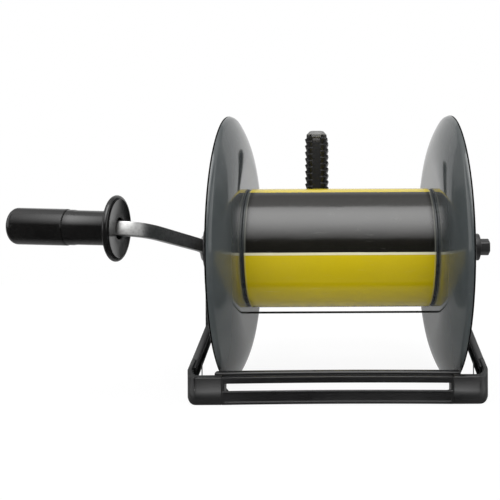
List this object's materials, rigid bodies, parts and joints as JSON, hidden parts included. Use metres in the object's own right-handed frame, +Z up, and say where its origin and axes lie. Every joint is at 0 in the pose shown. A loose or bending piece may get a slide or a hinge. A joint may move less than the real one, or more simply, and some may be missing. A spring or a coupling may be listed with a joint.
{
  "type": "geared wire reel",
  "caption": "Empty hand-cranked reel for fence wire: a flanged drum on a black frame, driven faster than its side crank by planetary gears, with a carrying grip and hooks.",
  "frame": {"origin": "on the floor, under the middle of the base bar, in the middle plane of the drum", "axes": "+X along the axle away from the crank, +Y from the base bar to the carrying grip, +Z up"},
  "size_m": [0.4091, 0.279, 0.2615],
  "materials": {
    "frame_plastic": "moulded black plastic, satin gloss",
    "hand_grip_plastic": "moulded black plastic, satin",
    "hand_cap_plastic": "moulded dark grey plastic, satin",
    "hook_steel": "bright zinc plate",
    "fastener_steel": "bright zinc plate",
    "axle_steel": "ground steel",
    "axle_cap_plastic": "moulded black plastic, satin gloss",
    "flange_plastic": "moulded slate grey plastic, glossy",
    "core_plastic": "moulded slate grey plastic, glossy",
    "label_film": "printed film, glossy",
    "housing_plastic": "moulded dark grey plastic, satin",
    "gear_nylon": "natural nylon",
    "bush_nylon": "natural nylon",
    "tie_bar_steel": "blackened steel wire",
    "crank_steel": "bright zinc plate",
    "crank_grip_plastic": "moulded black plastic, glossy"
  },
  "bodies": {
    "frame": {"left_side_frame": "frame_plastic", "right_side_frame": "frame_plastic", "base_bar": "frame_plastic", "rear_bar": "frame_plastic", "hand_grip": "hand_grip_plastic", "hand_grip_cap": "hand_cap_plastic", "left_hook": "hook_steel", "right_hook": "hook_steel", "frame_screws": "fastener_steel", "axle": "axle_steel", "axle_cap": "axle_cap_plastic", "axle_washer": "fastener_steel", "gear_housing": "housing_plastic", "housing_screws": "fastener_steel", "shaft_bush": "bush_nylon", "ring_gear": "gear_nylon"},
    "drum": {"drum_core": "core_plastic", "label_sleeve": "label_film", "left_flange": "flange_plastic", "right_flange": "flange_plastic", "tie_bar": "tie_bar_steel", "drum_tie_rods": "fastener_steel", "tie_rod_nuts": "fastener_steel", "left_bush": "bush_nylon", "right_bush": "bush_nylon", "sun_gear": "gear_nylon", "sun_screws": "fastener_steel"},
    "crank": {"planet_carrier": "axle_steel", "planet_pins": "axle_steel", "crank_bar": "crank_steel", "crank_spindle": "axle_steel", "grip_retainer": "axle_steel"},
    "planet_1": {"planet_gear_1": "gear_nylon"},
    "planet_2": {"planet_gear_2": "gear_nylon"},
    "planet_3": {"planet_gear_3": "gear_nylon"},
    "crank_grip": {"crank_grip": "crank_grip_plastic", "crank_grip_cap": "crank_grip_plastic"}
  },
  "joints": [
    {"name": "crank_turn", "type": "hinge", "parent": "frame", "child": "crank", "pos_m": [0, 0.07758, 0.1265], "axis": [1, 0, 0], "continuous": true},
    {"name": "drum_turn", "type": "hinge", "parent": "frame", "child": "drum", "pos_m": [0, 0.07758, 0.1265], "axis": [1, 0, 0], "continuous": true},
    {"name": "planet_turn_1", "type": "hinge", "parent": "crank", "child": "planet_1", "pos_m": [0, 0.10458, 0.1265], "axis": [1, 0, 0], "continuous": true},
    {"name": "planet_turn_2", "type": "hinge", "parent": "crank", "child": "planet_2", "pos_m": [0, 0.06408, 0.14988], "axis": [1, 0, 0], "continuous": true},
    {"name": "planet_turn_3", "type": "hinge", "parent": "crank", "child": "planet_3", "pos_m": [0, 0.06408, 0.10312], "axis": [1, 0, 0], "continuous": true},
    {"name": "grip_turn", "type": "hinge", "parent": "crank", "child": "crank_grip", "pos_m": [-0.18079, -0.01558, 0.14511], "axis": [0.9996, -0.0058, -0.0291], "continuous": true}
  ],
  "couplings": [
    {"joint": "drum_turn", "follows": "crank_turn", "ratio": 3},
    {"joint": "planet_turn_1", "follows": "crank_turn", "ratio": -4},
    {"joint": "planet_turn_2", "follows": "crank_turn", "ratio": -4},
    {"joint": "planet_turn_3", "follows": "crank_turn", "ratio": -4}
  ]
}
